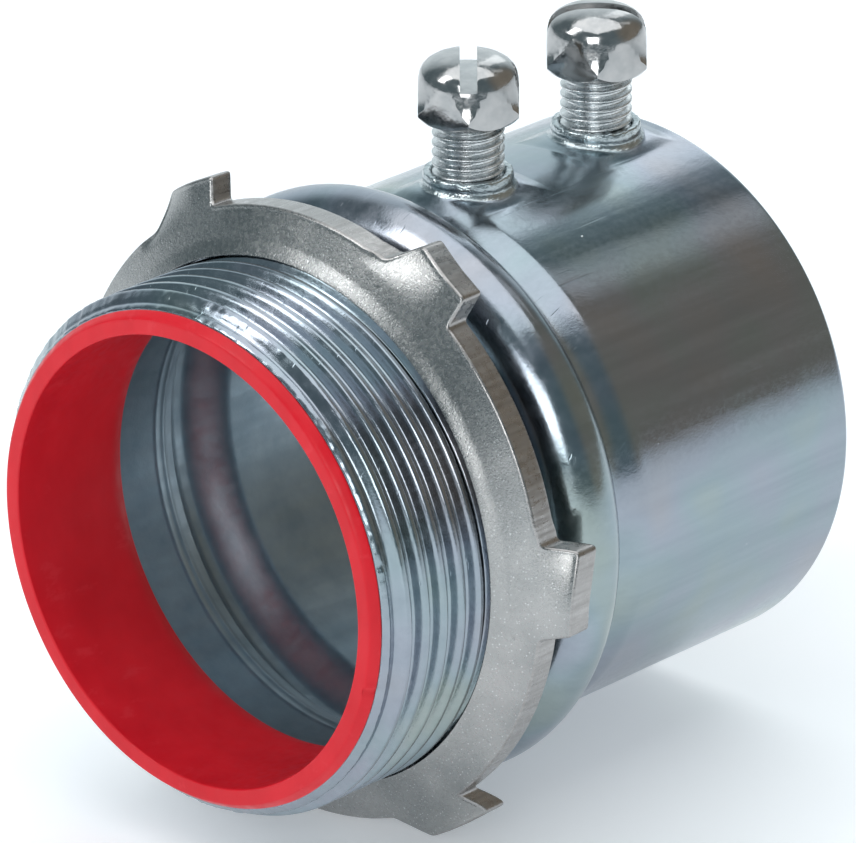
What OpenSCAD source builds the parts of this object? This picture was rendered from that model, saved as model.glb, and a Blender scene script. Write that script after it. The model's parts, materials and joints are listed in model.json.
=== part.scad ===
// Set-screw connector for thin-wall conduit, trade size 1-1/2, with an insulated throat.
// The conduit slides into the socket (+X) and two screws clamp it from above (+Z).
// The threaded nipple (-X) goes through a knockout and the locknut holds it there.
// Origin: on the axis, where the conduit comes to its stop at the inner end of the socket.
// Millimetres throughout.

/* [Socket] */
// Outer radius of the socket
socket_r = 24.4; // [24.2:0.1:25.0]
// Wall thickness of the formed steel
wall = 2.0; // [1.8:0.1:2.2]
// Depth of the socket from the conduit stop to its mouth
socket_len = 28; // [27:0.5:34]
// Rounding of the socket's mouth
mouth_round = 0.6; // [0.2:0.1:0.9]

/* [Nipple] */
// Radius over the thread crests
thread_r = 23.6; // [23.4:0.05:23.8]
// Thread pitch, 11.5 turns to the inch
thread_pitch = 2.209; // [2.0:0.001:2.4]
// Depth of the rolled thread
thread_depth = 1.0; // [0.7:0.05:1.1]
// Radius of the nipple's bore
nipple_bore_r = 21.8; // [21.4:0.05:21.9]
// Distance from the conduit stop to the front face of the throat's lip
nipple_len = 30.6; // [29.5:0.1:32]

/* [Bead] */
// Outer radius of the formed stop bead
bead_r = 26.7; // [26.2:0.1:27.2]
// Half of the bead's width along the axis
bead_half = 3.7; // [3.4:0.1:3.9]
// Distance from the conduit stop back to the bead's crown
bead_back = 6.2; // [6.0:0.1:6.5]

/* [Insulated throat] */
// Bore radius of the plastic throat
throat_bore_r = 20.2; // [19.9:0.1:20.7]
// Outer radius of the lip that covers the nipple's end
lip_r = 22.2; // [21.9:0.05:22.4]
// Thickness of the lip
lip_thick = 0.9; // [0.8:0.1:1.5]
// Overall length of the throat
throat_len = 13; // [9:0.2:14.6]

/* [Locknut] */
// Radius of the nut's round rim
nut_rim_r = 27.7; // [27.2:0.1:28.2]
// Radius over the lugs
lug_r = 30.15; // [29.6:0.05:30.6]
// Thickness of the plate
nut_thick = 2.7; // [2.2:0.1:3.0]
// Number of lugs
lug_count = 6; // [6:1:6]
// Width of a lug at the rim, in degrees
lug_span = 17.5; // [14:0.5:20]
// How far the bent corner of each lug leans towards the bead
lug_lean = 1.6; // [0.8:0.1:2.0]
// Radial clearance between the nut's bore and the thread crests
nut_clear = 0.05; // [0.03:0.01:0.09]

/* [Set screws] */
// Distance from the conduit stop to the front screw
screw_front_x = 4.9; // [4.6:0.1:5.5]
// Distance between the two screws
screw_gap = 16.6; // [15:0.1:17.5]
// Radius of the screw thread, 1/4 inch size
screw_r = 3.175; // [3.0:0.025:3.2]
// Pitch of the screw thread, 28 turns to the inch
screw_pitch = 0.907; // [0.85:0.001:1.0]
// Height of the underside of the head above the axis
head_z = 30.7; // [29:0.1:32]
// Height of the head
head_h = 6.0; // [5:0.1:6.5]
// Distance across the flats of the head
head_flats = 8.73; // [8.4:0.01:9.0]
// Width of the screwdriver slot
slot_w = 1.5; // [1.2:0.1:1.8]
// Outer radius of the drawn collar that holds the screw
collar_r = 3.95; // [3.8:0.05:4.2]
// Height of the collar's rim above the axis
collar_z = 26.1; // [25.8:0.1:26.4]

/* [Hidden] */
$fn = 96;

e = 0.01; // overlap that keeps joined solids in one piece
over = 5; // how far a cutting tool runs past the surface that it cuts

// Places along the axis
lip_x = -nipple_len;
nipple_x = lip_x + lip_thick;
bead_x = -bead_back;
bead_end_x = bead_x + bead_half;
neck_x = bead_end_x + 0.7;
neck_r = socket_r - 0.9;
// The neck's outside: how far past the bead's end or the neck each point lies, and how far outside neck_r
bead_foot = [0.2, -0.05];
neck_curve = [[1.2, 0.25], [2.2, 0.7], [3.2, 0.9]];
socket_bore_r = socket_r - wall;
throat_end_x = lip_x + throat_len;
mouth_edge = 0.4; // edge broken inside the socket's mouth
stop_edge = 0.6; // first, steep part of the step at the conduit stop
stop_len = 1.6; // distance from the conduit stop back to the neck's bore

// Nipple thread
thread_root_r = thread_r - thread_depth;
thread_plain_r = thread_root_r + 0.3;
nipple_edge = 0.3; // slope that the thread starts with
thread_first_x = nipple_x + 1.8;
thread_full = 5; // full turns, from the nipple's end to where the run-out starts
thread_runout = [0.25, 0.5]; // how much lower each turn of the run-out is, next to the bead
thread_end_x = thread_first_x + (thread_full + len(thread_runout) - 0.5) * thread_pitch;
thread_foot = 0.3; // slope that the thread ends with
neck_bore_r = 21.5;
crest_half = thread_pitch * 0.09;
root_half = thread_pitch * 0.12;

// Bead, drawn as a half ellipse above the nipple outside and the wall thickness below it inside
bead_base_r = thread_plain_r;
bead_rise = bead_r - bead_base_r;
bead_steps = 16;
bead_wall = wall - 0.15;
bead_in_half = bead_half - bead_wall * 0.62;
bead_lead = 0.6; // flat between the bead's inside and the neck

// Insulated throat
lip_slope = 0.55; // how much smaller the lip is at its front face
lip_slope_len = 0.75;
lip_edge = 0.15; // edge broken inside the lip
throat_end_edge = [0.5, 0.3]; // slope at the throat's inner end, along the axis and across it

// Locknut: a dished plate, a shallow cone whose rim lies nearer the bead than its bore
nut_bore_r = thread_r + nut_clear;
nut_front_x = -18.1;
nut_dish = 0.46;
nut_edge = 0.35;
lug_first = 58.8;
lug_step = 360 / lug_count;
// How far each lug's two sides slope, in degrees, going round
lug_low_run = [5, 4, 1.5, 0, 1.5, 3];
lug_high_run = [0.5, 1.5, 2, 5.5, 4, 2];
lean_span = 12;
lug_steps = 10;
lug_root = 1.6; // how deep a lug's root lies inside the rim
lug_sink = 0.15; // how far the foot of a lug's side lies below the rim
lug_inset = 0.06; // how much thinner than the plate a lug is, on each face

// Set screws
screw_clear = 0.05;
screw_root_r = screw_r - 0.5;
screw_root_half = screw_pitch * 0.06;
screw_crest_half = screw_pitch * 0.09;
screw_turns = 7;
screw_tip_z = 22.7;
screw_thread_z = screw_tip_z + 0.7; // where the thread starts, above the bevelled tip
screw_tip_r = screw_root_r - 0.6;
slot_depth = 2.2;
hex_turn = 42.9;
head_corner_r = head_flats / 2 / cos(30);
head_foot_r = screw_r + 0.15;
head_scallop = [0.3, 1.25, 3.0]; // heights where the underside leaves the flats and the corners are full
head_washer = 0.35; // how far inside the flats the underside's slope starts
// The crown: how far inside the flats and how far below the top each point lies
head_crown = [[0.1, 1.25], [0.7, 0.62], [1.5, 0.28], [2.8, 0.06]];
flare_r = 2.4;
flare_foot_z = socket_r - 1.4;
collar_lip = 0.35;
collar_foot_z = socket_bore_r + 0.3;
pierced_w = 2; // how much the hole opens towards the bore, and over what depth

// Half ellipse as a list of [x, r] points
function arch(x, half, base, rise, steps) = [
    for (i = [0 : steps])
        let (a = 180 - 180 * i / steps)
        [x + half * cos(a), base + rise * sin(a)]
];

// Rolled thread as a list of [x, r] points: one ridge for each crest radius, a pitch apart
function ridges(first, crests, pitch, root, root_flat, crest_flat) = [
    for (i = [0 : len(crests) - 1], k = [0 : 3])
        let (x = first + i * pitch)
        k == 0 ? [x - pitch / 2 + root_flat, root] :
        k == 1 ? [x - crest_flat, crests[i]] :
        k == 2 ? [x + crest_flat, crests[i]] :
        [x + pitch / 2 - root_flat, root]
];

// Crest radii of the nipple's thread: full turns, then the run-out
nipple_crests = concat(
    [for (i = [1 : thread_full]) thread_r],
    [for (drop = thread_runout) thread_r - drop]
);

// Crest radii of a set screw's thread
screw_crests = [for (i = [1 : screw_turns]) screw_r];

// A profile of [x, r] points turned about the X axis
module turned(points) {
    rotate([0, 90, 0])
        rotate_extrude()
            rotate(90)
                mirror([0, 1])
                    polygon(points);
}

// The outline of the formed wall, outside, from the nipple's end to the socket's mouth
function outer_wall() = concat(
    [[nipple_x, thread_root_r - nipple_edge / 2], [nipple_x + nipple_edge, thread_root_r]],
    ridges(thread_first_x, nipple_crests, thread_pitch, thread_root_r, root_half, crest_half),
    [[thread_end_x + thread_foot, thread_plain_r]],
    arch(bead_x, bead_half, bead_base_r, bead_rise, bead_steps),
    [[bead_end_x + bead_foot[0], neck_r + bead_foot[1]], [neck_x, neck_r]],
    [for (p = neck_curve) [neck_x + p[0], neck_r + p[1]]],
    [[socket_len - mouth_round, socket_r], [socket_len, socket_r - mouth_round]]
);

// The same wall inside, from the socket's mouth back to the nipple's end
function inner_wall() = concat(
    [[socket_len, socket_bore_r + mouth_edge], [socket_len - mouth_edge, socket_bore_r]],
    [[0, socket_bore_r], [-stop_edge, socket_bore_r - stop_edge], [-stop_len, neck_bore_r]],
    [[bead_x + bead_in_half + bead_lead, neck_bore_r]],
    [for (i = [bead_steps : -1 : 0])
        arch(bead_x, bead_in_half, nipple_bore_r, bead_r - bead_wall - nipple_bore_r, bead_steps)[i]],
    [[nipple_x, nipple_bore_r]]
);

// Collar drawn up out of the wall for one screw, with the flare that blends it into the socket
module collar(x) {
    translate([x, 0, 0])
        rotate_extrude()
            polygon(concat(
                [[0, collar_foot_z], [collar_r + flare_r, collar_foot_z]],
                [for (a = [0 : 15 : 75])
                    [collar_r + flare_r * (1 - sin(a)), flare_foot_z + flare_r * (1 - cos(a))]],
                [[collar_r, collar_z - collar_lip], [collar_r - collar_lip, collar_z], [0, collar_z]]
            ));
}

// Hole through a collar, opened a little where the wall was pierced
module collar_hole(x) {
    translate([x, 0, socket_bore_r - over])
        cylinder(r = screw_r + screw_clear, h = collar_z - socket_bore_r + 2 * over);
    translate([x, 0, socket_bore_r - pierced_w / 2])
        cylinder(r1 = screw_r + pierced_w, r2 = screw_r, h = pierced_w);
}

module connector_body() {
    color("lightsteelblue")
        difference() {
            union() {
                turned(concat(outer_wall(), inner_wall()));
                for (x = [screw_front_x, screw_front_x + screw_gap])
                    collar(x);
            }
            rotate([0, 90, 0])
                cylinder(r = socket_bore_r, h = socket_len + over);
            for (x = [screw_front_x, screw_front_x + screw_gap])
                collar_hole(x);
        }
}

module insulated_throat() {
    color("crimson")
        turned([
            [lip_x, throat_bore_r + lip_edge],
            [lip_x, lip_r - lip_slope],
            [lip_x + lip_slope_len, lip_r],
            [nipple_x, lip_r],
            [nipple_x, nipple_bore_r],
            [throat_end_x, nipple_bore_r],
            [throat_end_x, throat_bore_r + throat_end_edge[1]],
            [throat_end_x - throat_end_edge[0], throat_bore_r],
            [lip_x + lip_edge, throat_bore_r]
        ]);
}

// Section of the dished plate between two radii
function plate(r0, r1) = let (
    f0 = nut_front_x + nut_dish * (r0 - nut_bore_r),
    f1 = nut_front_x + nut_dish * (r1 - nut_bore_r)
) [
    [f0, r0], [f1, r1 - nut_edge], [f1 + nut_edge, r1],
    [f1 + nut_thick - nut_edge, r1], [f1 + nut_thick, r1 - nut_edge], [f0 + nut_thick, r0]
];

// Section of a lug at one angle: [x, r] points from its root inside the rim out to its tip
function lug_section(tip_r, lean) = let (
    root = nut_rim_r - lug_root,
    f0 = nut_front_x + nut_dish * (root - nut_bore_r) + lug_inset,
    f1 = nut_front_x + nut_dish * (tip_r - nut_bore_r) + lug_inset + lean,
    thick = nut_thick - 2 * lug_inset
) [
    [f0, root], [f1, tip_r - nut_edge], [f1 + nut_edge, tip_r],
    [f1 + thick - nut_edge, tip_r], [f1 + thick, tip_r - nut_edge], [f0 + thick, root]
];

// Tip radius at an angle from the lug's low base: up one side, along the tip, down the other
function lug_tip(i, a) = let (
    up = a / max(lug_low_run[i], 0.5),
    down = (lug_span - a) / max(lug_high_run[i], 0.5),
    rise = lug_r - nut_rim_r + lug_sink
) nut_rim_r - lug_sink + rise * sin(90 * max(0, min(1, up, down)));

// How far the lug has leaned back at that angle: all of it at the low corner, none past lean_span
function lug_lean_at(a) = lug_lean * pow(max(0, 1 - a / lean_span), 1.5);

// One lug: sections a few degrees apart, joined into a closed solid
module lug(i) {
    low = lug_first + i * lug_step - lug_span / 2;
    sections = [
        for (j = [0 : lug_steps])
            let (a = lug_span * j / lug_steps)
            [for (p = lug_section(lug_tip(i, a), lug_lean_at(a)))
                [p[0], p[1] * cos(low + a), p[1] * sin(low + a)]]
    ];
    n = len(sections);
    m = len(sections[0]);
    polyhedron(
        points = [for (s = sections) each s],
        faces = concat(
            [[for (k = [m - 1 : -1 : 0]) k]],
            [[for (k = [0 : m - 1]) (n - 1) * m + k]],
            [for (j = [0 : n - 2], k = [0 : m - 1]) each [
                [j * m + k, j * m + (k + 1) % m, (j + 1) * m + (k + 1) % m],
                [j * m + k, (j + 1) * m + (k + 1) % m, (j + 1) * m + k]
            ]]
        )
    );
}

module locknut() {
    color("gray")
        union() {
            turned(plate(nut_bore_r, nut_rim_r));
            for (i = [0 : lug_count - 1])
                lug(i);
        }
}

// Hexagonal head: the crown and the underside are turned, which trims the corners to deep scallops
module screw_head() {
    intersection() {
        rotate(hex_turn)
            translate([0, 0, -e])
                linear_extrude(head_h + 2 * e)
                    circle(r = head_corner_r, $fn = 6);
        rotate_extrude()
            polygon(concat(
                [[0, 0], [head_foot_r, 0], [head_flats / 2 - head_washer, head_scallop[0]]],
                [for (z = [head_scallop[1], head_scallop[2]]) [head_corner_r + 0.1, z]],
                [for (p = head_crown) [head_flats / 2 - p[0], head_h - p[1]]],
                [[0, head_h]]
            ));
    }
}

// One set screw standing at rest with its tip just inside the socket's wall
module set_screw(x, slot_turn) {
    translate([x, 0, 0])
        difference() {
            union() {
                rotate_extrude()
                    polygon(concat(
                        [[0, screw_tip_z], [screw_tip_r, screw_tip_z]],
                        [[screw_root_r, screw_thread_z]],
                        [for (p = ridges(screw_thread_z + screw_pitch / 2, screw_crests, screw_pitch,
                            screw_root_r, screw_root_half, screw_crest_half)) [p[1], p[0]]],
                        [[screw_root_r, head_z + e], [0, head_z + e]]
                    ));
                translate([0, 0, head_z])
                    screw_head();
            }
            translate([0, 0, head_z + head_h - slot_depth])
                rotate(slot_turn)
                    translate([-head_flats, -slot_w / 2, 0])
                        cube([2 * head_flats, slot_w, slot_depth + 1]);
        }
}

module set_screw_front() {
    color("silver")
        set_screw(screw_front_x, hex_turn);
}

module set_screw_rear() {
    color("silver")
        set_screw(screw_front_x + screw_gap, hex_turn + 90);
}

connector_body();
insulated_throat();
locknut();
set_screw_front();
set_screw_rear();
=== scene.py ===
"""Set-screw conduit connector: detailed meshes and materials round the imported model.

Lengths are in millimetres until a mesh is made, which turns them into metres. The fitting's axis
is X, with the threaded nipple towards -X, and the set screws stand along +Z.
"""
import json
import math

import bmesh
import bpy
import numpy as np
from mathutils import Matrix, Vector


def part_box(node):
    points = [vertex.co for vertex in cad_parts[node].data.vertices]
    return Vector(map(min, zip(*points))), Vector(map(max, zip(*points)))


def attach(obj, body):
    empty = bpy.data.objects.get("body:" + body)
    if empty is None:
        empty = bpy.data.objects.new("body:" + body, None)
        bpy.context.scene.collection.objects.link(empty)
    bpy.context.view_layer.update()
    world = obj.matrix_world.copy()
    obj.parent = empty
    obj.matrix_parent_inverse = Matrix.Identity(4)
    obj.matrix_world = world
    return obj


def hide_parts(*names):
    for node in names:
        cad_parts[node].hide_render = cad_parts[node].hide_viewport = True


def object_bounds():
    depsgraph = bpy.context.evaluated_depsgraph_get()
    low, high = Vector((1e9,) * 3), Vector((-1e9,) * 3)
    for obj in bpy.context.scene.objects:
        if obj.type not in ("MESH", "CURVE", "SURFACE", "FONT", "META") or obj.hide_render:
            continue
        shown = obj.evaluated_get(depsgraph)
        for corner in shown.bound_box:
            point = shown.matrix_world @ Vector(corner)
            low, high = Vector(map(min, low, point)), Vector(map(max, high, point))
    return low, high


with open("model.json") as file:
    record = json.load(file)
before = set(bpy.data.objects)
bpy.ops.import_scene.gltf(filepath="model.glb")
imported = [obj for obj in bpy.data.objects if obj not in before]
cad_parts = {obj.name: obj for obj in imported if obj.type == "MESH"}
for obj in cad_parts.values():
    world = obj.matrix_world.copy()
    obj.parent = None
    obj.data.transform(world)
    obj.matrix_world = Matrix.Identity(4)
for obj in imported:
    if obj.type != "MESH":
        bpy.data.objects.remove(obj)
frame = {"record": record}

cad_lo, cad_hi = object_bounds()

MM = 0.001
TAU = 2 * math.pi


def box_mm(node):
    """A node's lowest and highest corners in millimetres."""
    lo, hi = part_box(node)
    return Vector(lo) / MM, Vector(hi) / MM


def mount_mm(name, key):
    mount = next(m for m in frame["record"]["mounts"] if m["name"] == name)
    return mount["dims"][key]


# ---------------------------------------------------------------- sizes from the frame
body_lo, body_hi = box_mm("connector_body")
throat_lo, throat_hi = box_mm("insulated_throat")
nut_lo, nut_hi = box_mm("locknut")

NIPPLE_X = body_lo.x  # the nipple's end face
MOUTH_X = body_hi.x  # the socket's mouth
LIP_X = throat_lo.x
THROAT_END_X = throat_hi.x
LIP_R = throat_hi.y
BEAD_R = body_hi.y
SOCKET_BORE_R = mount_mm("conduit_socket", "r_mm")
THROAT_BORE_R = mount_mm("throat", "r_mm")
THREAD_R = mount_mm("nipple_thread", "r_mm")
LUG_R = nut_hi.y

# ---------------------------------------------------------------- sizes of the real fitting
WALL = 2.0
SOCKET_R = SOCKET_BORE_R + WALL
NIPPLE_BORE_R = 21.8
PITCH = 2.209  # 11.5 turns to the inch
THREAD_FIRST_X = NIPPLE_X + 1.8  # the first whole crest, on the side named by THREAD_TURN
THREAD_TURN = math.radians(150)
THREAD_DEPTH = 1.0
ROOT_R = THREAD_R - THREAD_DEPTH
THREAD_END_X = -11.6
BEAD_X = -6.2
BEAD_HALF = 3.7
BEAD_BASE_R = ROOT_R + 0.3
BEAD_SINK = 0.6  # how far inside the nipple's outside the bead's curve starts
BEAD_FILLET = 0.9
FLARE = ((-12.0, 0.17), (-10.9, 0.2))  # where the nipple's bore starts to open, and the slope added
RIDGES = ((-12.1, 0.22, 0.07), (-11.05, 0.32, 0.1))  # place, width and height of the two edge ridges
GROOVE_X, GROOVE_R = -6.5, 24.45  # the widest place under the bead
WALL_X = -8.4  # where the flare ends and only the steep wall and the groove go on
# The steep wall behind the nipple; its last point only keeps it outside the groove
NEAR_X, NEAR_R = (-12, -9.7, -8.5, -7.2, 30), (19.5, 21.9, 23.7, 24.7, 40)
STOP_X = -1.9  # where the groove under the bead has come down to the socket's bore
NECK_X = BEAD_X + BEAD_HALF + 0.7
NECK_R = SOCKET_R - 0.9
NECK_RUN = 3.2
MOUTH_ROUND = 0.6

GATE_TURN = math.radians(193)  # where the throat's gate mark is

SCREW_R = 3.175  # 1/4 inch
SCREW_CLEAR = 0.05
SCREW_PITCH = 0.907  # 28 turns to the inch
COLLAR_R = 3.95
COLLAR_Z = 26.1
SCREW_TURN = math.radians(42.9)  # one corner of each hex head points this way in plan


# ---------------------------------------------------------------- mesh helpers
def make_object(name, points, faces, sharp=None):
    """A mesh object from points in millimetres, with outward normals and smooth shading."""
    points = np.asarray(points, float) * MM
    used = np.zeros(len(points), bool)
    for f in faces:
        used[np.asarray(f).ravel()] = True
    place = np.cumsum(used) - 1
    mesh = bpy.data.meshes.new(name)
    polygons = []
    for f in faces:
        polygons += [tuple(p) for p in place[np.asarray(f)].tolist()]
    mesh.from_pydata(points[used].tolist(), [], polygons)
    work = bmesh.new()
    work.from_mesh(mesh)
    bmesh.ops.recalc_face_normals(work, faces=work.faces)
    work.to_mesh(mesh)
    work.free()
    for p in mesh.polygons:
        p.use_smooth = True
    if sharp is not None:
        mesh.set_sharp_from_angle(angle=math.radians(sharp))
    thing = bpy.data.objects.new(name, mesh)
    bpy.context.collection.objects.link(thing)
    return thing


def grid_faces(index, wrap_rows=False, wrap_columns=False, keep=None):
    """Quads between neighbouring entries of a table of point numbers."""
    below = np.roll(index, -1, axis=0)
    beside = np.roll(index, -1, axis=1)
    corner = np.roll(below, -1, axis=1)
    quads = np.stack([index, below, corner, beside], axis=-1)
    mask = np.ones(index.shape, bool)
    if not wrap_rows:
        mask[-1, :] = False
    if not wrap_columns:
        mask[:, -1] = False
    if keep is not None:
        mask &= keep
    return quads[mask]


def smooth_step(t):
    t = np.clip(t, 0, 1)
    return t * t * (3 - 2 * t)


def smooth_max(a, b, k):
    """The larger of two curves, rounded over a width k where they cross."""
    h = np.maximum(k - np.abs(a - b), 0) / k
    return np.maximum(a, b) + h * h * k / 4


def smooth_min(a, b, k):
    return -smooth_max(-a, -b, k)


def ripple(seed, u, v, waves, size):
    """A smooth random surface from a few sine waves, repeating after one turn of v."""
    rng = np.random.default_rng(seed)
    total = 0
    for _ in range(waves):
        along = rng.uniform(0.1, 0.8)
        round_ = rng.integers(1, 9)
        total = total + np.sin(along * u + round_ * v + rng.uniform(0, TAU)) * rng.uniform(0.3, 1)
    return total * size / waves


def thread_shape(phase, crest, root):
    """Height from 0 to 1 of a thread with flat crests and roots, rounded where they meet."""
    d = np.abs((phase + 0.5) % 1.0 - 0.5)
    t = np.clip((d - crest) / (0.5 - crest - root), 0, 1)
    return 0.5 + 0.5 * np.cos(math.pi * t)


# ---------------------------------------------------------------- connector body
def outer_radius(x):
    """The formed tube's outside without its thread, as a function of the place along the axis."""
    nipple = np.where(x < BEAD_X, BEAD_BASE_R, 0)
    rise = (SOCKET_R - NECK_R) * smooth_step((x - NECK_X) / NECK_RUN)
    socket = np.where(x >= BEAD_X, NECK_R + rise, 0)
    plain = np.maximum(nipple, socket)
    u = np.clip(1 - ((x - BEAD_X) / BEAD_HALF) ** 2, 0, 1)
    foot_r = BEAD_BASE_R - BEAD_SINK
    bead = np.where(u > 0, foot_r + (BEAD_R - foot_r) * np.sqrt(u), BEAD_BASE_R - 3)
    return smooth_max(plain, bead, BEAD_FILLET)


def inner_radius(x):
    """The tube's inside: nipple bore, flare with two ridges, groove under the bead, socket."""
    flare = NIPPLE_BORE_R
    for start, slope in FLARE:
        flare = flare + slope * smooth_max(x - start, 0, 0.4)
    for place, width, height in RIDGES:
        flare = flare - height * np.exp(-(((x - place) / width) ** 2))
    near = np.interp(x, NEAR_X, NEAR_R)
    drop = smooth_step((x - GROOVE_X) / (STOP_X - GROOVE_X))
    far = GROOVE_R - (GROOVE_R - SOCKET_BORE_R) * drop
    under = smooth_min(near, far, 0.7)
    return np.where(x < WALL_X, smooth_max(flare, under, 0.25), under)


def body_thread(x, angle):
    """Radius of the rolled helical thread, fading in at the nipple's end and out before the bead."""
    phase = (x - THREAD_FIRST_X) / PITCH - (angle - THREAD_TURN) / TAU
    height = thread_shape(phase, 0.07, 0.10)
    fade = smooth_step((THREAD_END_X - x) / 1.6)
    cut = ROOT_R + THREAD_DEPTH * height
    r = BEAD_BASE_R * (1 - fade) + cut * fade
    chamfer = ROOT_R - 0.3 + (x - NIPPLE_X) * 0.9 + burr(angle)
    return smooth_min(r, chamfer, 0.2)


def burr(angle):
    """The fine unevenness of the cut edge at the nipple's end."""
    rng = np.random.default_rng(3)
    total = np.zeros_like(angle)
    for waves in (23, 41, 67, 97, 131, 173):
        total += np.sin(waves * angle + rng.uniform(0, TAU)) * rng.uniform(0.4, 1)
    return 0.035 * total


def connector_body():
    columns = 432
    half_columns = 15  # half the width of the patch round a collar, in columns
    half_patch = 5.4  # and half its length along the axis
    screws = [sum(v.x for v in box_mm(n)) / 2 for n in ("set_screw_front", "set_screw_rear")]
    angle = TAU * np.arange(columns) / columns
    top = columns // 4  # the column under the screws

    # Stations along the closed outline: out along the outside, round the mouth and back inside
    rows = []

    def stretch(x0, x1, step, side):
        n = max(2, round(abs(x1 - x0) / step))
        rows.extend((x, side) for x in np.linspace(x0, x1, n, endpoint=False))

    def marked(x0, x1, side):
        """A stretch along a patch, with the same number of rows outside and inside."""
        rows.extend((x, side) for x in np.linspace(x0, x1, 30, endpoint=False))

    stretch(NIPPLE_X, THREAD_END_X, 0.09, "out")
    stretch(THREAD_END_X, BEAD_X - BEAD_HALF, 0.15, "out")
    for a in np.linspace(math.pi, 0, 72, endpoint=False):
        rows.append((BEAD_X + BEAD_HALF * math.cos(a), "out"))
    edge = BEAD_X + BEAD_HALF
    for s in screws:
        stretch(edge, s - half_patch, 0.25, "out")
        marked(s - half_patch, s + half_patch, "out")
        edge = s + half_patch
    stretch(edge, MOUTH_X - MOUTH_ROUND, 0.2, "out")
    steps = 10
    quarter = np.linspace(0, math.pi / 2, steps)
    for a in quarter:
        rows.append((MOUTH_X - MOUTH_ROUND * (1 - math.sin(a)), SOCKET_R - MOUTH_ROUND * (1 - math.cos(a))))
    inner_round = 0.35
    for a in quarter:
        rows.append((MOUTH_X - inner_round * (1 - math.cos(a)),
                     SOCKET_BORE_R + inner_round * (1 - math.sin(a))))
    inner_edge = MOUTH_X - inner_round - 0.02
    for s in reversed(screws):
        stretch(inner_edge, s + half_patch, 0.3, "in")
        marked(s + half_patch, s - half_patch, "in")
        inner_edge = s - half_patch
    stretch(inner_edge, BEAD_X, 0.15, "in")
    plain_x = BEAD_X - BEAD_HALF - 4  # the nipple's bore is straight from here to its end
    stretch(BEAD_X, plain_x, 0.08, "in")
    stretch(plain_x, NIPPLE_X + 0.3, 0.3, "in")
    rows.append((NIPPLE_X + 0.15, NIPPLE_BORE_R + 0.02))
    rows.append((NIPPLE_X, NIPPLE_BORE_R + 0.2))
    rows.append((NIPPLE_X, ROOT_R - 0.5))

    x = np.array([r[0] for r in rows])
    radius = np.zeros((len(rows), columns))
    for i, (place, side) in enumerate(rows):
        if side == "out":
            threaded = place < THREAD_END_X
            radius[i] = body_thread(place, angle) if threaded else outer_radius(np.array(place))
        elif side == "in":
            radius[i] = inner_radius(np.array(place))
        else:
            radius[i] = side
    formed = (x > THREAD_END_X) & (x < MOUTH_X - 1)
    wave = ripple(5, x[:, None], angle[None, :], 7, 0.055)
    ends = smooth_step((x - THREAD_END_X) / 3) * smooth_step((MOUTH_X - 1 - x) / 3)
    radius += wave * (formed * ends)[:, None]
    points = np.stack([np.broadcast_to(x[:, None], radius.shape),
                       radius * np.cos(angle), radius * np.sin(angle)], axis=-1)

    # Leave out a rectangle round each screw, outside and inside, and bridge it with the collar
    keep = np.ones(radius.shape, bool)
    index = np.arange(radius.size).reshape(radius.shape)
    all_points = [points.reshape(-1, 3)]
    faces = []
    count = radius.size
    for number, s in enumerate(screws):
        loops = []
        for side in ("out", "in"):
            first = next(i for i, r in enumerate(rows)
                         if r[1] == side and abs(r[0] - (s - half_patch)) < 1e-6)
            last = next(i for i, r in enumerate(rows)
                        if r[1] == side and abs(r[0] - (s + half_patch)) < 1e-6)
            step = 1 if last > first else -1
            line = list(range(first, last + step, step))
            a, b = top - half_columns, top + half_columns
            loop = [(i, a) for i in line[:-1]] + [(line[-1], j) for j in range(a, b)]
            loop += [(i, b) for i in reversed(line[1:])] + [(line[0], j) for j in range(b, a, -1)]
            loops.append([index[i, j] for i, j in loop])
            low, high = min(first, last), max(first, last)
            keep[low:high, a:b] = False
        outer, inner = (points.reshape(-1, 3)[loop] for loop in loops)
        rings = collar_rings(s, outer, inner, number)
        ids = [np.array(loops[0])]
        for ring in rings:
            all_points.append(ring)
            ids.append(np.arange(count, count + len(ring)))
            count += len(ring)
        ids.append(np.array(loops[1]))
        faces.append(grid_faces(np.array(ids), wrap_columns=True))
    faces.insert(0, grid_faces(index, wrap_rows=True, wrap_columns=True, keep=keep))
    body = make_object("connector_body_formed", np.concatenate(all_points), faces)
    centre = np.array([p.center for p in body.data.polygons]) / MM
    inside = np.hypot(centre[:, 1], centre[:, 2]) < inner_radius(centre[:, 0]) + 0.4
    high = centre[:, 2] > SOCKET_R - 0.4
    drawn = np.zeros(len(centre), bool)
    for s in screws:
        drawn |= high & (np.hypot(centre[:, 0] - s, centre[:, 1]) < COLLAR_R + 0.3)
    body.data.polygons.foreach_set("material_index", np.where(drawn, 2, inside).astype(np.int32))
    return body


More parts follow.
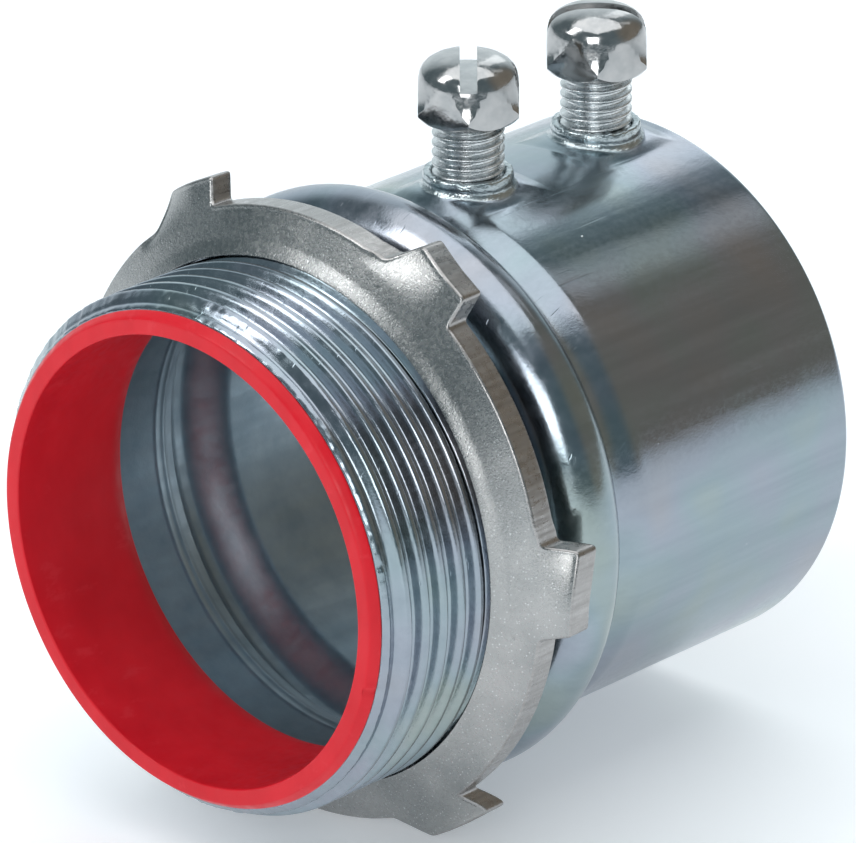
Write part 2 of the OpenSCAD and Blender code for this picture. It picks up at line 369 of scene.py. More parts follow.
def collar_rings(s, outer, inner, seed):
    """Rings of points from the socket's outside up the collar, over its rim and down the hole."""
    turn = np.arctan2(outer[:, 1], outer[:, 0] - s)
    reach = np.hypot(outer[:, 0] - s, outer[:, 1])
    fillet = 0.55
    rings = []

    def surface(px, py, radius_of):
        return np.sqrt(radius_of(px) ** 2 - py**2)

    def ring(rho, z):
        height = np.broadcast_to(z, turn.shape)
        return np.stack([s + rho * np.cos(turn), rho * np.sin(turn), height], axis=-1)

    def outside(rho):
        px, py = s + rho * np.cos(turn), rho * np.sin(turn)
        away = np.clip((rho - COLLAR_R) / fillet, 0, 1)
        rise = fillet - np.sqrt(fillet**2 - (fillet * (1 - away)) ** 2)
        swell = 0.36 * smooth_step((reach - rho) / np.maximum(reach - COLLAR_R, 0.1))
        return surface(px, py, outer_radius) + rise + swell

    for t in np.linspace(0, 1, 26)[1:]:
        ease = 1 - (1 - t) ** 1.6
        rho = reach + (COLLAR_R - reach) * ease
        rings.append(ring(rho, outside(rho)))
    base = outside(np.full_like(turn, COLLAR_R))
    torn = ripple(40 + seed, turn * 0, turn * 3, 6, 0.14)
    torn = torn + ripple(50 + seed, turn * 0, turn * 9, 6, 0.10)
    top = COLLAR_Z - 0.12 + np.clip(torn, -0.2, 0.11)
    lip = 0.22
    for t in np.linspace(0, 1, 8)[1:]:
        bulge = 0.05 * math.sin(math.pi * t)
        rings.append(ring(COLLAR_R + bulge, base + (top - lip - base) * t))
    for a in np.linspace(0, math.pi / 2, 6)[1:]:
        rings.append(ring(COLLAR_R - lip * (1 - math.cos(a)), top - lip * (1 - math.sin(a))))
    hole = SCREW_R + SCREW_CLEAR
    rings.append(ring(hole + 0.22, top))
    rings.append(ring(hole + 0.06, top - 0.08))
    low = SOCKET_BORE_R + 0.5
    for z in np.linspace(COLLAR_Z - 0.35, low, 34):
        groove = 1 - thread_shape(z / SCREW_PITCH - turn / TAU, 0.1, 0.1)
        depth = 0.32 * smooth_step((COLLAR_Z - 0.7 - z) / 0.5)
        rings.append(ring(hole + depth * (1 - groove), z))
    inner_reach = np.hypot(inner[:, 0] - s, inner[:, 1])
    for t in np.linspace(0, 1, 14)[1:-1]:
        rho = hole + 0.5 * t + (inner_reach - hole - 0.5) * t**2
        px, py = s + rho * np.cos(turn), rho * np.sin(turn)
        blend = (1 - smooth_step((rho - hole) / 1.6)) * 0.45
        rings.append(ring(rho, surface(px, py, inner_radius) + blend))
    return rings


# ---------------------------------------------------------------- insulated throat
def arc(cx, cy, r, a0, a1, n):
    """Points on an arc, in degrees."""
    return [(cx + r * math.cos(math.radians(a)), cy + r * math.sin(math.radians(a)))
            for a in np.linspace(a0, a1, n)]


def insulated_throat():
    columns = 720
    angle = TAU * np.arange(columns) / columns
    lip_back = NIPPLE_X - 0.01
    slope_x, slope_r = 0.75, 0.55  # the lip's side leans in towards its front face
    sleeve_r = NIPPLE_BORE_R - 0.02
    outline = []
    outline += arc(LIP_X + 0.18, THROAT_BORE_R + 0.18, 0.18, 270, 180, 8)
    outline += [(LIP_X, r) for r in np.linspace(THROAT_BORE_R + 0.25, LIP_R - slope_r - 0.08, 6)]
    outline += [(LIP_X + 0.03, LIP_R - slope_r - 0.02), (LIP_X + 0.08, LIP_R - slope_r + 0.03)]
    outline += [(LIP_X + slope_x * t, LIP_R - slope_r * (1 - t)) for t in np.linspace(0.2, 0.92, 5)]
    outline += [(LIP_X + slope_x + 0.05, LIP_R), (lip_back, LIP_R - 0.02)]
    outline += [(lip_back, sleeve_r + 0.1), (lip_back + 0.2, sleeve_r)]
    outline += [(x, sleeve_r) for x in np.linspace(lip_back + 1, THROAT_END_X - 0.5, 8)]
    outline += arc(THROAT_END_X - 0.4, sleeve_r - 0.4, 0.4, 90, 0, 6)
    outline += arc(THROAT_END_X - 0.25, THROAT_BORE_R + 0.6, 0.25, 0, -90, 6)
    outline += [(THROAT_END_X - 0.6, THROAT_BORE_R + 0.24)]
    outline += [(THROAT_END_X - 1.2, THROAT_BORE_R + 0.16)]
    taper = np.linspace(THROAT_END_X - 1.6, LIP_X + 0.8, 40)
    outline += [(x, THROAT_BORE_R + 0.15 * smooth_step((x - LIP_X) / 12)) for x in taper]
    x = np.array([p[0] for p in outline])[:, None] + 0 * angle
    r = np.array([p[1] for p in outline])[:, None] + 0 * angle
    r = r + ripple(9, x, angle[None, :], 5, 0.02) * (r < NIPPLE_BORE_R - 0.3)
    x = x + ripple(10, 0 * x, angle[None, :], 4, 0.03) * (x < LIP_X + 0.2)
    x = np.maximum(x, LIP_X)
    # The mould's gate mark: a thin raised line across the lip's side, with a dent beside it
    off = (angle - GATE_TURN + math.pi) % TAU - math.pi
    line = 0.16 * np.exp(-((off / math.radians(0.55)) ** 2))
    dent = 0.2 * np.exp(-(((off - math.radians(1.6)) / math.radians(0.9)) ** 2))
    side = (r > LIP_R - slope_r - 0.05) & (x < lip_back)
    r = np.where(side, np.minimum(r + (line - dent)[None, :], LIP_R), r)
    points = np.stack([x, r * np.cos(angle), r * np.sin(angle)], axis=-1)
    index = np.arange(x.size).reshape(x.shape)
    return make_object("insulated_throat_moulded", points.reshape(-1, 3),
                       [grid_faces(index, True, True)])


# ---------------------------------------------------------------- locknut
NUT_RIM_R = 27.7
NUT_THICK = 2.7
NUT_DISH = 0.46
NUT_BORE_R = THREAD_R + 0.05
NUT_FRONT_X = nut_lo.x
LUG_FIRST = 58.8
LUG_SPAN = 17.5
LUG_LOW_RUN = (5, 4, 1.5, 0, 1.5, 3)  # degrees that each lug's two sides slope over
LUG_HIGH_RUN = (0.5, 1.5, 2, 5.5, 4, 2)
LUG_LEAN = 1.6
LUG_LEAN_SPAN = 12


def rounded(points, radii, steps=8):
    """A closed outline with its corners rounded."""
    out = []
    n = len(points)
    for i, r in enumerate(radii):
        p, a, b = (np.array(points[k % n], float) for k in (i, i - 1, i + 1))
        if r <= 0:
            out.append(p)
            continue
        u, v = (a - p) / np.linalg.norm(a - p), (b - p) / np.linalg.norm(b - p)
        half = math.acos(np.clip(u @ v, -1, 1)) / 2
        run = min(r / math.tan(half), np.linalg.norm(a - p) * 0.48, np.linalg.norm(b - p) * 0.48)
        start, end = p + u * run, p + v * run
        for t in np.linspace(0, 1, steps):
            out.append((1 - t) ** 2 * start + 2 * t * (1 - t) * p + t**2 * end)
    return out


def nut_outline():
    """The nut's outline seen along the axis, as (y, z) points: six lugs joined by rim arcs."""
    points, radii = [], []
    for i in range(6):
        low = LUG_FIRST + 60 * i - LUG_SPAN / 2
        high = low + LUG_SPAN
        tip_low, tip_high = low + LUG_LOW_RUN[i], high - LUG_HIGH_RUN[i]

        def at(r, a):
            return (r * math.cos(math.radians(a)), r * math.sin(math.radians(a)))

        points.append(at(NUT_RIM_R, low))
        radii.append(1.2 if LUG_LOW_RUN[i] > 2 else 0.7)
        points.append(at(LUG_R, tip_low))
        radii.append(1.0 if LUG_LOW_RUN[i] > 2 else 0.55)
        for a in np.linspace(tip_low, tip_high, 8)[1:-1]:
            points.append(at(LUG_R, a))
            radii.append(0)
        points.append(at(LUG_R, tip_high))
        radii.append(1.0 if LUG_HIGH_RUN[i] > 2 else 0.45)
        points.append(at(NUT_RIM_R, high))
        radii.append(1.2 if LUG_HIGH_RUN[i] > 2 else 0.5)
        for a in np.linspace(high, low + 60, 24)[1:-1]:
            points.append(at(NUT_RIM_R, a))
            radii.append(0)
    return np.array(rounded(points, radii))


def resample(points, step):
    """The closed outline with evenly spaced points."""
    closed = np.vstack([points, points[:1]])
    gaps = np.linalg.norm(np.diff(closed, axis=0), axis=1)
    place = np.concatenate([[0], np.cumsum(gaps)])
    n = round(place[-1] / step)
    where = np.linspace(0, place[-1], n, endpoint=False)
    return np.stack([np.interp(where, place, closed[:, k]) for k in (0, 1)], axis=-1)


def nut_lean(y, z):
    """How far the plate leans towards the bead at a place: only at each lug's low corner."""
    a = np.degrees(np.arctan2(z, y))
    r = np.hypot(y, z)
    from_low = (a - (LUG_FIRST - LUG_SPAN / 2) + 20) % 60 - 20
    along = np.clip(1 - from_low / LUG_LEAN_SPAN, 0, 1.15) ** 1.5
    along *= smooth_step((from_low + 5) / 5)
    out = smooth_step((r - (NUT_RIM_R - 1.3)) / (LUG_R - NUT_RIM_R + 1.3))
    return LUG_LEAN * along * out


def locknut():
    edge = resample(nut_outline(), 0.16)
    n = len(edge)
    ahead, behind = np.roll(edge, -1, axis=0), np.roll(edge, 1, axis=0)
    along = ahead - behind
    along /= np.linalg.norm(along, axis=1)[:, None]
    normal = np.stack([along[:, 1], -along[:, 0]], axis=-1)
    spin = np.unwrap(np.arctan2(edge[:, 1], edge[:, 0]))
    even = np.linspace(spin[0], spin[0] + TAU, n, endpoint=False)
    inner_spin = 0.75 * spin + 0.25 * even
    inner = np.stack([np.cos(inner_spin), np.sin(inner_spin)], axis=-1)

    def front(p):
        r = np.hypot(p[:, 0], p[:, 1])
        return NUT_FRONT_X + NUT_DISH * (r - NUT_BORE_R) + nut_lean(p[:, 0], p[:, 1])

    def boss(p):
        """How far the ring next to the thread falls away from the nut's front."""
        r = np.hypot(p[:, 0], p[:, 1])
        return 0.22 * smooth_step((r - NUT_BORE_R - 0.1) / 1.3)

    def row(p, x):
        return np.column_stack([np.broadcast_to(x, len(p)), p])

    rows = []
    chamfer = 0.12
    front_round, back_round = 0.32, 0.15
    # The front face from the bore's chamfer to the rounded edge
    for t in np.linspace(0, 1, 40) ** 1.4:
        p = inner * (NUT_BORE_R + chamfer) * (1 - t) + (edge - normal * front_round) * t
        rows.append(row(p, front(p) + boss(p)))
    limit = edge - normal * front_round
    first_edge_row = len(rows)
    for a in np.linspace(0, math.pi / 2, 6)[1:]:
        p = limit + normal * front_round * math.sin(a)
        rows.append(row(p, front(limit) + boss(limit) + front_round * (1 - math.cos(a))))
    for t in np.linspace(0, 1, 10)[1:-1]:
        p = edge - normal * 0.06 * t
        rows.append(row(p, front(limit) + front_round + (NUT_THICK - front_round - back_round) * t))
    for a in np.linspace(0, math.pi / 2, 4):
        p = edge - normal * (0.06 + back_round * (1 - math.cos(a)))
        rows.append(row(p, front(limit) + NUT_THICK - back_round * (1 - math.sin(a))))
    last_edge_row = len(rows)
    back_limit = edge - normal * (0.06 + back_round)
    for t in np.linspace(1, 0, 20)[1:]:
        p = inner * (NUT_BORE_R + chamfer) * (1 - t) + back_limit * t
        rows.append(row(p, front(p) + NUT_THICK))
    # The bore: chamfers at both ends and the inside thread cut into it
    x0, x1 = NUT_FRONT_X + 0.05, NUT_FRONT_X + NUT_THICK + 0.2
    for x in np.linspace(x1 - 0.2, x0 + 0.1, 40):
        phase = (x - THREAD_FIRST_X) / PITCH - (inner_spin - THREAD_TURN) / TAU
        depth = (0.75) * thread_shape(phase, 0.06, 0.12)
        ends = smooth_step((x - x0) / 0.4) * smooth_step((x1 - x) / 0.4)
        r = NUT_BORE_R + depth * ends
        rows.append(np.column_stack([np.broadcast_to(x, n), inner * r[:, None]]))
    points = np.array(rows)
    index = np.arange(points.shape[0] * n).reshape(points.shape[0], n)
    nut = make_object("locknut_stamped", points.reshape(-1, 3), [grid_faces(index, True, True)])
    row_of = np.arange(len(nut.data.polygons)) // n
    sheared = (row_of >= first_edge_row + 1) & (row_of < last_edge_row)
    nut.data.polygons.foreach_set("material_index", sheared.astype(np.int32))
    return nut


# ---------------------------------------------------------------- set screws
HEAD_H = 6.0
HEAD_FLATS = 8.73
SLOT_W = 1.5
SLOT_DEPTH = 2.2


def lathe(name, profile, segments):
    """A closed solid turned about the Z axis from (radius, height) points that end on the axis."""
    angle = TAU * np.arange(segments) / segments
    rows = [[(r * math.cos(a), r * math.sin(a), z) for a in angle] for r, z in profile[1:-1]]
    points = np.array(rows).reshape(-1, 3)
    index = np.arange(len(points)).reshape(len(rows), segments)
    low, high = len(points), len(points) + 1
    points = np.vstack([points, [[0, 0, profile[0][1]], [0, 0, profile[-1][1]]]])
    caps = []
    for line, tip in ((index[0], low), (index[-1], high)):
        caps.append(np.stack([line, np.roll(line, -1), np.full(segments, tip)], axis=-1))
    return make_object(name, points, [grid_faces(index, False, True), *caps])


def boolean(thing, tool, operation):
    """Applies one exact boolean and removes the tool."""
    step = thing.modifiers.new("cut", "BOOLEAN")
    step.operation, step.object, step.solver = operation, tool, "EXACT"
    graph = bpy.context.evaluated_depsgraph_get()
    mesh = bpy.data.meshes.new_from_object(thing.evaluated_get(graph))
    thing.modifiers.clear()
    thing.data = mesh
    bpy.data.objects.remove(tool)


def prism(name, outline, z0, z1):
    points = [(x, y, z) for z in (z0, z1) for x, y in outline]
    n = len(outline)
    sides = [[i, (i + 1) % n, n + (i + 1) % n, n + i] for i in range(n)]
    return make_object(name, points, [sides, [list(range(n))], [list(range(n, 2 * n))]])


def set_screw(node, name, slot_turn):
    lo, hi = box_mm(node)
    cx, tip_z, top_z = (lo.x + hi.x) / 2, lo.z, hi.z
    head_z = top_z - HEAD_H
    corner_r = HEAD_FLATS / 2 / math.cos(math.pi / 6)
    f = HEAD_FLATS / 2
    profile = [(0, 0), (SCREW_R + 0.15, 0)]
    full_r = corner_r + 0.03  # the corners are whole between these two points
    profile += [(f - 0.8, 0.02), (f - 0.35, 0.1), (f, 0.28), (f + 0.3, 0.6), (full_r, 1.05)]
    profile += [(full_r, 1.2), (f + 0.4, 1.8), (f + 0.19, 2.6), (f + 0.07, 3.3)]
    profile += [(f - 0.03, 3.85), (f - 0.14, 4.35), (f - 0.35, 4.78), (f - 0.72, 5.17), (f - 1.2, 5.47)]
    profile += [(f - 1.7, 5.68), (f - 2.4, 5.86), (f - 3.2, 5.95), (0.5, 5.99), (0, HEAD_H)]
    head = lathe(name, profile, 144)
    turns = [SCREW_TURN + k * TAU / 6 for k in range(6)]
    hexagon = [(corner_r * math.cos(t), corner_r * math.sin(t)) for t in turns]
    boolean(head, prism("hex_tool", hexagon, -1, HEAD_H + 1), "INTERSECT")
    c, s = math.cos(slot_turn), math.sin(slot_turn)
    slot = [(u * c - v * s, u * s + v * c)
            for u, v in ((-8, -SLOT_W / 2), (8, -SLOT_W / 2), (8, SLOT_W / 2), (-8, SLOT_W / 2))]
    boolean(head, prism("slot_tool", slot, HEAD_H - SLOT_DEPTH, HEAD_H + 1), "DIFFERENCE")
    bevel = head.modifiers.new("bevel", "BEVEL")
    bevel.width, bevel.segments, bevel.limit_method = 0.09 * MM, 3, "ANGLE"
    bevel.angle_limit = math.radians(28)
    bevel.harden_normals = False
    graph = bpy.context.evaluated_depsgraph_get()
    head.data = bpy.data.meshes.new_from_object(head.evaluated_get(graph))
    head.modifiers.clear()
    for p in head.data.polygons:
        p.use_smooth = True
    head.data.set_sharp_from_angle(angle=math.radians(35))

    # The shank with its helical thread, in the same mesh
    columns = 96
    angle = TAU * np.arange(columns) / columns
    shank = head_z - tip_z + 0.4
    heights = np.linspace(0, shank, round(shank / 0.06))
    rows = [np.column_stack([0 * angle, 0 * angle, 0 * angle])]
    for z in heights:
        cut = SCREW_R - 0.5 + 0.5 * thread_shape(z / SCREW_PITCH - angle / TAU, 0.08, 0.12)
        tip = SCREW_R - 1.15 + z * 1.1
        runout = smooth_step((shank - 0.4 - z) / 0.7)
        r = smooth_min(cut * runout + (SCREW_R - 0.35) * (1 - runout), tip, 0.15)
        rows.append(np.column_stack([r * np.cos(angle), r * np.sin(angle), z + 0 * angle]))
    rows.append(np.column_stack([0 * angle, 0 * angle, shank + 0 * angle]))
    points = np.array(rows)
    index = np.arange(points.shape[0] * columns).reshape(points.shape[0], columns)
    stem = make_object(name + "_stem", points.reshape(-1, 3), [grid_faces(index, False, True)])
    stem.data.transform(shift(cx, 0, tip_z))
    head.data.transform(shift(cx, 0, head_z))
    join = bmesh.new()
    join.from_mesh(head.data)
    join.from_mesh(stem.data)
    join.faces.ensure_lookup_table()
    for face in join.faces[len(head.data.polygons):]:
        face.material_index = 1
    bmesh.ops.remove_doubles(join, verts=[v for v in join.verts if len(v.link_faces) > 20], dist=1e-7)
    join.to_mesh(head.data)
    join.free()
    bpy.data.objects.remove(stem)
    return head


def shift(x, y, z):
    return Matrix.Translation((x * MM, y * MM, z * MM))


# ---------------------------------------------------------------- materials
class Shading:
    """A material or world node tree, with short calls that add the nodes it is made of."""

    def __init__(self, tree):
        self.tree = tree
        tree.nodes.clear()

    def add(self, kind, inputs=None, **settings):
        node = self.tree.nodes.new("ShaderNode" + kind)
        for key, value in settings.items():
            setattr(node, key, value)
        for key, value in (inputs or {}).items():
            self.feed(node.inputs[key], value)
        return node

    def feed(self, socket, value):
        if isinstance(value, bpy.types.NodeSocket):
            self.tree.links.new(value, socket)
        else:
            socket.default_value = value

    def place(self, stretch=(1, 1, 1)):
        """Object coordinates in metres, scaled unevenly to draw a pattern out in one direction."""
        coordinates = self.add("TexCoord").outputs["Object"]
        return self.add("Mapping", {"Vector": coordinates, "Scale": stretch}).outputs[0]

    def noise(self, size_mm, detail=2.0, rough=0.5, stretch=(1, 1, 1)):
        """Cloudy noise from 0 to 1 whose patches are about the given size."""
        inputs = {"Vector": self.place(stretch), "Scale": 1 / (size_mm * MM), "Detail": detail,
                  "Roughness": rough}
        return self.add("TexNoise", inputs).outputs[0]

    def spots(self, cell_mm, spot_mm, share):
        """Round spots in a share of the cells of a random pattern: 1 inside a spot, 0 outside."""
        cells = self.add("TexVoronoi", {"Vector": self.place(), "Scale": 1 / (cell_mm * MM)})
        inside = self.span(cells.outputs["Distance"], spot_mm / cell_mm, 0.4 * spot_mm / cell_mm, 0, 1)
        chosen = self.span(cells.outputs["Color"], 1 - share - 0.02, 1 - share, 0, 1)
        return self.math("MULTIPLY", inside, chosen)

    def span(self, value, low, high, out_low, out_high):
        inputs = {0: value, 1: low, 2: high, 3: out_low, 4: out_high}
        return self.add("MapRange", inputs, interpolation_type="SMOOTHSTEP").outputs[0]

    def math(self, operation, a, b):
        return self.add("Math", {0: a, 1: b}, operation=operation).outputs[0]

    def colours(self, value, *stops):
        """A colour ramp through (place, (r, g, b)) stops."""
        ramp = self.add("ValToRGB", {0: value})
        elements = ramp.color_ramp.elements
        while len(elements) < len(stops):
            elements.new(0.5)
        for element, (place, colour) in zip(elements, stops):
            element.position = place
            element.color = (*colour, 1)
        return ramp.outputs[0]

    def mix(self, share, a, b):
        inputs = {0: share, 6: a if not isinstance(a, tuple) else (*a, 1),
                  7: b if not isinstance(b, tuple) else (*b, 1)}
        return self.add("Mix", inputs, data_type="RGBA").outputs[2]

    def bump(self, height, depth_mm, under=None):
        inputs = {"Height": height, "Distance": depth_mm * MM, "Strength": 1.0}
        if under is not None:
            inputs["Normal"] = under
        return self.add("Bump", inputs).outputs[0]


def surface(name, metallic, make, gloss=0.5):
    """A material: make(shading) gives its colour, roughness and normal."""
    m = bpy.data.materials.new(name)
    m.use_nodes = True
    shading = Shading(m.node_tree)
    colour, roughness, normal = make(shading)
    inputs = {"Base Color": colour, "Metallic": metallic, "Roughness": roughness, "Normal": normal,
              "Specular IOR Level": gloss}
    shader = shading.add("BsdfPrincipled", inputs)
    shading.add("OutputMaterial", {0: shader.outputs[0]})
    return m


ALONG = (0.06, 1, 1)  # a pattern drawn out along the axis
AROUND = (1, 0.05, 0.05)  # and one drawn out round it


def zinc(s):
    """Bright zinc on the formed tube: drawn streaks, faint rainbow passivation, pits with painted glints,
    and scratches.
    """
    tint = s.noise(13, 2)
    streak = s.noise(1.6, 3, 0.6, ALONG)
    grain = s.noise(0.5, 3)
    passive = s.colours(tint, (0.30, (0.33, 0.38, 0.33)), (0.43, (0.28, 0.35, 0.38)),
                        (0.56, (0.32, 0.33, 0.40)), (0.70, (0.37, 0.33, 0.36)))
    grey = s.colours(streak, (0.3, (0.25, 0.31, 0.34)), (0.7, (0.34, 0.40, 0.44)))
    # Pits: real dents in the bump, and painted highlights as pale spots in the colour where they would
    # catch the lamps.
    pits_and_glints = s.spots(2.6, 0.16, 0.22)
    colour = s.mix(pits_and_glints, s.mix(0.5, grey, passive), (0.85, 0.87, 0.88))
    rough = s.math("ADD", s.span(streak, 0.3, 0.7, 0.13, 0.21), s.span(grain, 0.35, 0.65, 0, 0.05))
    scratch = s.span(s.noise(0.7, 2, 0.7, (0.03, 1, 0.3)), 0.66, 0.72, 0, 1)
    rings = s.noise(0.35, 2, 0.5, AROUND)
    normal = s.bump(s.noise(0.22, 2, 0.6), 0.006)
    normal = s.bump(s.noise(2.2, 1), 0.018, normal)
    normal = s.bump(s.math("ADD", pits_and_glints, s.math("MULTIPLY", scratch, -0.3)), 0.03, normal)
    return colour, rough, s.bump(rings, 0.002, normal)


def inside_zinc(s):
    """The tube's inside, where the plating is thinner and satin."""
    cloud = s.noise(4, 3, 0.6)
    streak = s.noise(1.2, 2, 0.6, ALONG)
    colour = s.colours(cloud, (0.3, (0.24, 0.31, 0.36)), (0.7, (0.33, 0.40, 0.45)))
    # Pale spots painted in the colour: painted highlights standing in for glints on pits.
    pits_and_glints = s.spots(1.9, 0.12, 0.15)
    rough = s.span(streak, 0.3, 0.7, 0.36, 0.46)
    normal = s.bump(s.noise(0.3, 3, 0.6), 0.010)
    return s.mix(pits_and_glints, colour, (0.6, 0.64, 0.66)), rough, s.bump(s.noise(2.5, 2), 0.03, normal)


def drawn_zinc(s):
    """The collars: stretched and torn steel under the plating, rough and glinting."""
    tear = s.noise(0.5, 3, 0.65)
    colour = s.colours(s.noise(1.3, 2), (0.3, (0.36, 0.42, 0.44)), (0.7, (0.55, 0.60, 0.62)))
    rough = s.span(tear, 0.35, 0.65, 0.12, 0.26)
    normal = s.bump(s.noise(0.2, 2), 0.012)
    return colour, rough, s.bump(tear, 0.09, normal)


def dull_zinc(s):
    """The nut's tumbled faces: a fine grain of painted glints, dents and cloudy patches."""
    cloud = s.noise(5, 3)
    colour = s.colours(cloud, (0.3, (0.30, 0.31, 0.31)), (0.7, (0.41, 0.41, 0.405)))
    # Pale specks painted in the colour: painted highlights for the sparkle of the tumbled grain.
    painted_glints = s.spots(0.24, 0.08, 0.3)
    colour = s.mix(painted_glints, colour, (0.64, 0.65, 0.65))
    rough = s.span(s.noise(0.4, 2), 0.3, 0.7, 0.20, 0.30)
    normal = s.bump(s.noise(0.2, 3, 0.7), 0.030)
    dents = s.spots(3.1, 0.5, 0.2)
    return colour, rough, s.bump(dents, -0.05, s.bump(s.noise(1.8, 2), 0.03, normal))


def sheared_zinc(s):
    """The nut's sheared rim: smoother and browner, with drag marks across its thickness."""
    marks = s.noise(0.5, 3, 0.6, (0.1, 1, 1))
    colour = s.colours(marks, (0.3, (0.30, 0.29, 0.285)), (0.7, (0.42, 0.41, 0.405)))
    rough = s.span(s.noise(0.6, 2), 0.3, 0.7, 0.24, 0.36)
    normal = s.bump(s.noise(0.2, 2), 0.010)
    return colour, rough, s.bump(marks, 0.03, normal)


def bright_zinc(s):
    """The set screws: bright and hard, a little stained where the plating ran."""
    stain = s.noise(1.4, 3)
    colour = s.colours(stain, (0.3, (0.36, 0.37, 0.375)), (0.62, (0.45, 0.45, 0.45)))
    rough = s.span(s.noise(0.5, 2), 0.3, 0.7, 0.10, 0.20)
    normal = s.bump(s.noise(0.25, 2), 0.006)
    return colour, rough, s.bump(s.noise(1.2, 2), 0.02, normal)


def satin_zinc(s):
    """The screws' rolled shanks: paler and satin, with a fine grain on the thread."""
    stain = s.noise(1.1, 3)
    colour = s.colours(stain, (0.3, (0.50, 0.53, 0.54)), (0.65, (0.68, 0.70, 0.71)))
    rough = s.span(s.noise(0.4, 2), 0.3, 0.7, 0.22, 0.34)
    normal = s.bump(s.noise(0.16, 3, 0.6), 0.012)
    return colour, rough, s.bump(s.noise(0.8, 2), 0.02, normal)


def red(s):
    """The moulded throat: flow marks, rub marks and a fine skin."""
    flow = s.noise(5, 3, 0.6, (1, 1, 0.6))
    rub = s.span(s.noise(2.2, 4, 0.7, (0.5, 1, 1)), 0.60, 0.72, 0, 0.5)
    deep = s.colours(flow, (0.3, (0.60, 0.006, 0.016)), (0.7, (0.70, 0.012, 0.024)))
    colour = s.mix(rub, deep, (0.72, 0.035, 0.05))
    rough = s.span(s.noise(1.1, 3), 0.3, 0.7, 0.30, 0.46)
    normal = s.bump(s.noise(0.3, 2), 0.004)
    return colour, rough, s.bump(s.noise(3.2, 2), 0.04, normal)


# ---------------------------------------------------------------- put together
screw_finishes = [surface("bright_zinc", 1, bright_zinc), surface("satin_zinc", 1, satin_zinc)]
pieces = [
    (connector_body(), "fitting", "connector_body", "zinc_plated_body",
     [surface("zinc", 1, zinc), surface("inside_zinc", 1, inside_zinc),
      surface("drawn_zinc", 1, drawn_zinc)]),
    (insulated_throat(), "fitting", "insulated_throat", "red_plastic", [surface("red", 0, red, 0.28)]),
    (locknut(), "nut", "locknut", "dull_zinc_nut",
     [surface("dull_zinc", 1, dull_zinc), surface("sheared_zinc", 1, sheared_zinc)]),
    (set_screw("set_screw_front", "set_screw_front_plated", SCREW_TURN), "front_screw",
     "set_screw_front", "bright_zinc_screw", screw_finishes),
    (set_screw("set_screw_rear", "set_screw_rear_plated", SCREW_TURN + math.pi / 2), "rear_screw",
     "set_screw_rear", "bright_zinc_screw", screw_finishes),
]
for piece, rides_on, node, slot, finishes in pieces:
    kept = np.zeros(len(piece.data.polygons), np.int32)
    piece.data.polygons.foreach_get("material_index", kept)
    piece.data.materials.clear()
    for finish in finishes:
        piece.data.materials.append(finish)
    piece.data.polygons.foreach_set("material_index", np.minimum(kept, len(finishes) - 1))
    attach(piece, rides_on)
    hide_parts(node)

# ---------------------------------------------------------------- camera, floor and light
AZIMUTH, ELEVATION = math.radians(-47.06), math.radians(22.71)
TARGET = Vector((-0.21, 0, 3.78)) * MM
DISTANCE = 684.1 * MM
back = Vector((math.sin(AZIMUTH) * math.cos(ELEVATION), -math.cos(AZIMUTH) * math.cos(ELEVATION),
               math.sin(ELEVATION)))
camera_data = bpy.data.cameras.new("camera")
camera_data.lens = 329.26
camera_data.sensor_width = 36
camera = bpy.data.objects.new("camera", camera_data)
camera.location = TARGET + back * DISTANCE
camera.rotation_mode = "QUATERNION"
camera.rotation_quaternion = (-back).to_track_quat("-Z", "Y")
bpy.context.collection.objects.link(camera)
bpy.context.scene.camera = camera

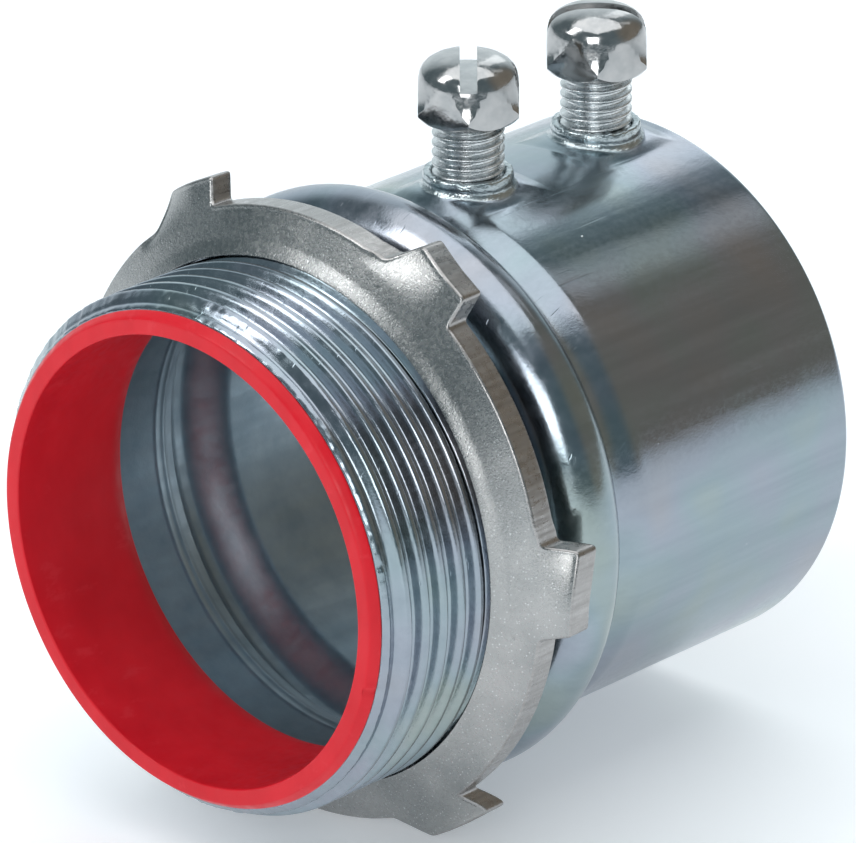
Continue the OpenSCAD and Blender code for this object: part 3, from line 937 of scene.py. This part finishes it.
floor_z = cad_lo.z
bpy.ops.mesh.primitive_plane_add(size=8, location=(0, 0, floor_z))
floor = bpy.context.object
floor.name = "floor"
floor_material = bpy.data.materials.new("floor")
floor_material.use_nodes = True
floor_look = Shading(floor_material.node_tree)
floor_shader = floor_look.add("BsdfPrincipled", {
    "Base Color": (0.9, 0.92, 0.94, 1), "Roughness": 0.7, "Emission Color": (0.9, 0.95, 1, 1),
    "Emission Strength": 0.28})
floor_look.add("OutputMaterial", {0: floor_shader.outputs[0]})
floor.data.materials.append(floor_material)


def direction(azimuth, elevation):
    """The way from the fitting towards a place in the studio, in degrees."""
    a, e = math.radians(azimuth), math.radians(elevation)
    return Vector((math.cos(e) * math.cos(a), math.cos(e) * math.sin(a), math.sin(e)))


def softbox(name, azimuth, elevation, size, brightness, colour=(1, 1, 1), distance=1.0):
    data = bpy.data.lights.new(name, "AREA")
    data.shape = "RECTANGLE"
    data.size, data.size_y = size
    data.energy = brightness * math.pi * size[0] * size[1]
    data.color = colour
    light = bpy.data.objects.new(name, data)
    light.location = direction(azimuth, elevation) * distance
    light.rotation_mode = "QUATERNION"
    light.rotation_quaternion = direction(azimuth, elevation).to_track_quat("Z", "Y")
    bpy.context.collection.objects.link(light)


softbox("overhead", 0, 90, (1.2, 1.2), 1.5)
softbox("left", 151, 42, (0.27, 0.62), 5)
softbox("front", -146, 20, (0.44, 0.42), 4.2)
softbox("back_right", 26, 34, (0.22, 0.6), 0.9)
softbox("side_strip", -13, 47, (0.16, 0.3), 0.45)

world = bpy.data.worlds.new("studio")
world.use_nodes = True
sky = Shading(world.node_tree)
way = sky.add("TexCoord").outputs["Generated"]


def glow(azimuth, elevation, inner, outer):
    """1 within an angle of a direction, fading to 0 at a wider one."""
    towards = sky.add("VectorMath", {0: way, 1: direction(azimuth, elevation)},
                      operation="DOT_PRODUCT")
    low, high = (math.cos(math.radians(angle)) for angle in (outer, inner))
    return sky.span(towards.outputs["Value"], low, high, 0, 1)


air = sky.mix(glow(48, 12, 14, 52), (0.17, 0.22, 0.24), (0.95, 1.06, 1.1))
air = sky.mix(glow(-40, 18, 20, 50), air, (0.30, 0.27, 0.225))
background = sky.add("Background", {0: air, 1: 1.0})
sky.add("OutputWorld", {0: background.outputs[0]})
bpy.context.scene.world = world
bpy.context.scene.view_settings.view_transform = "Standard"
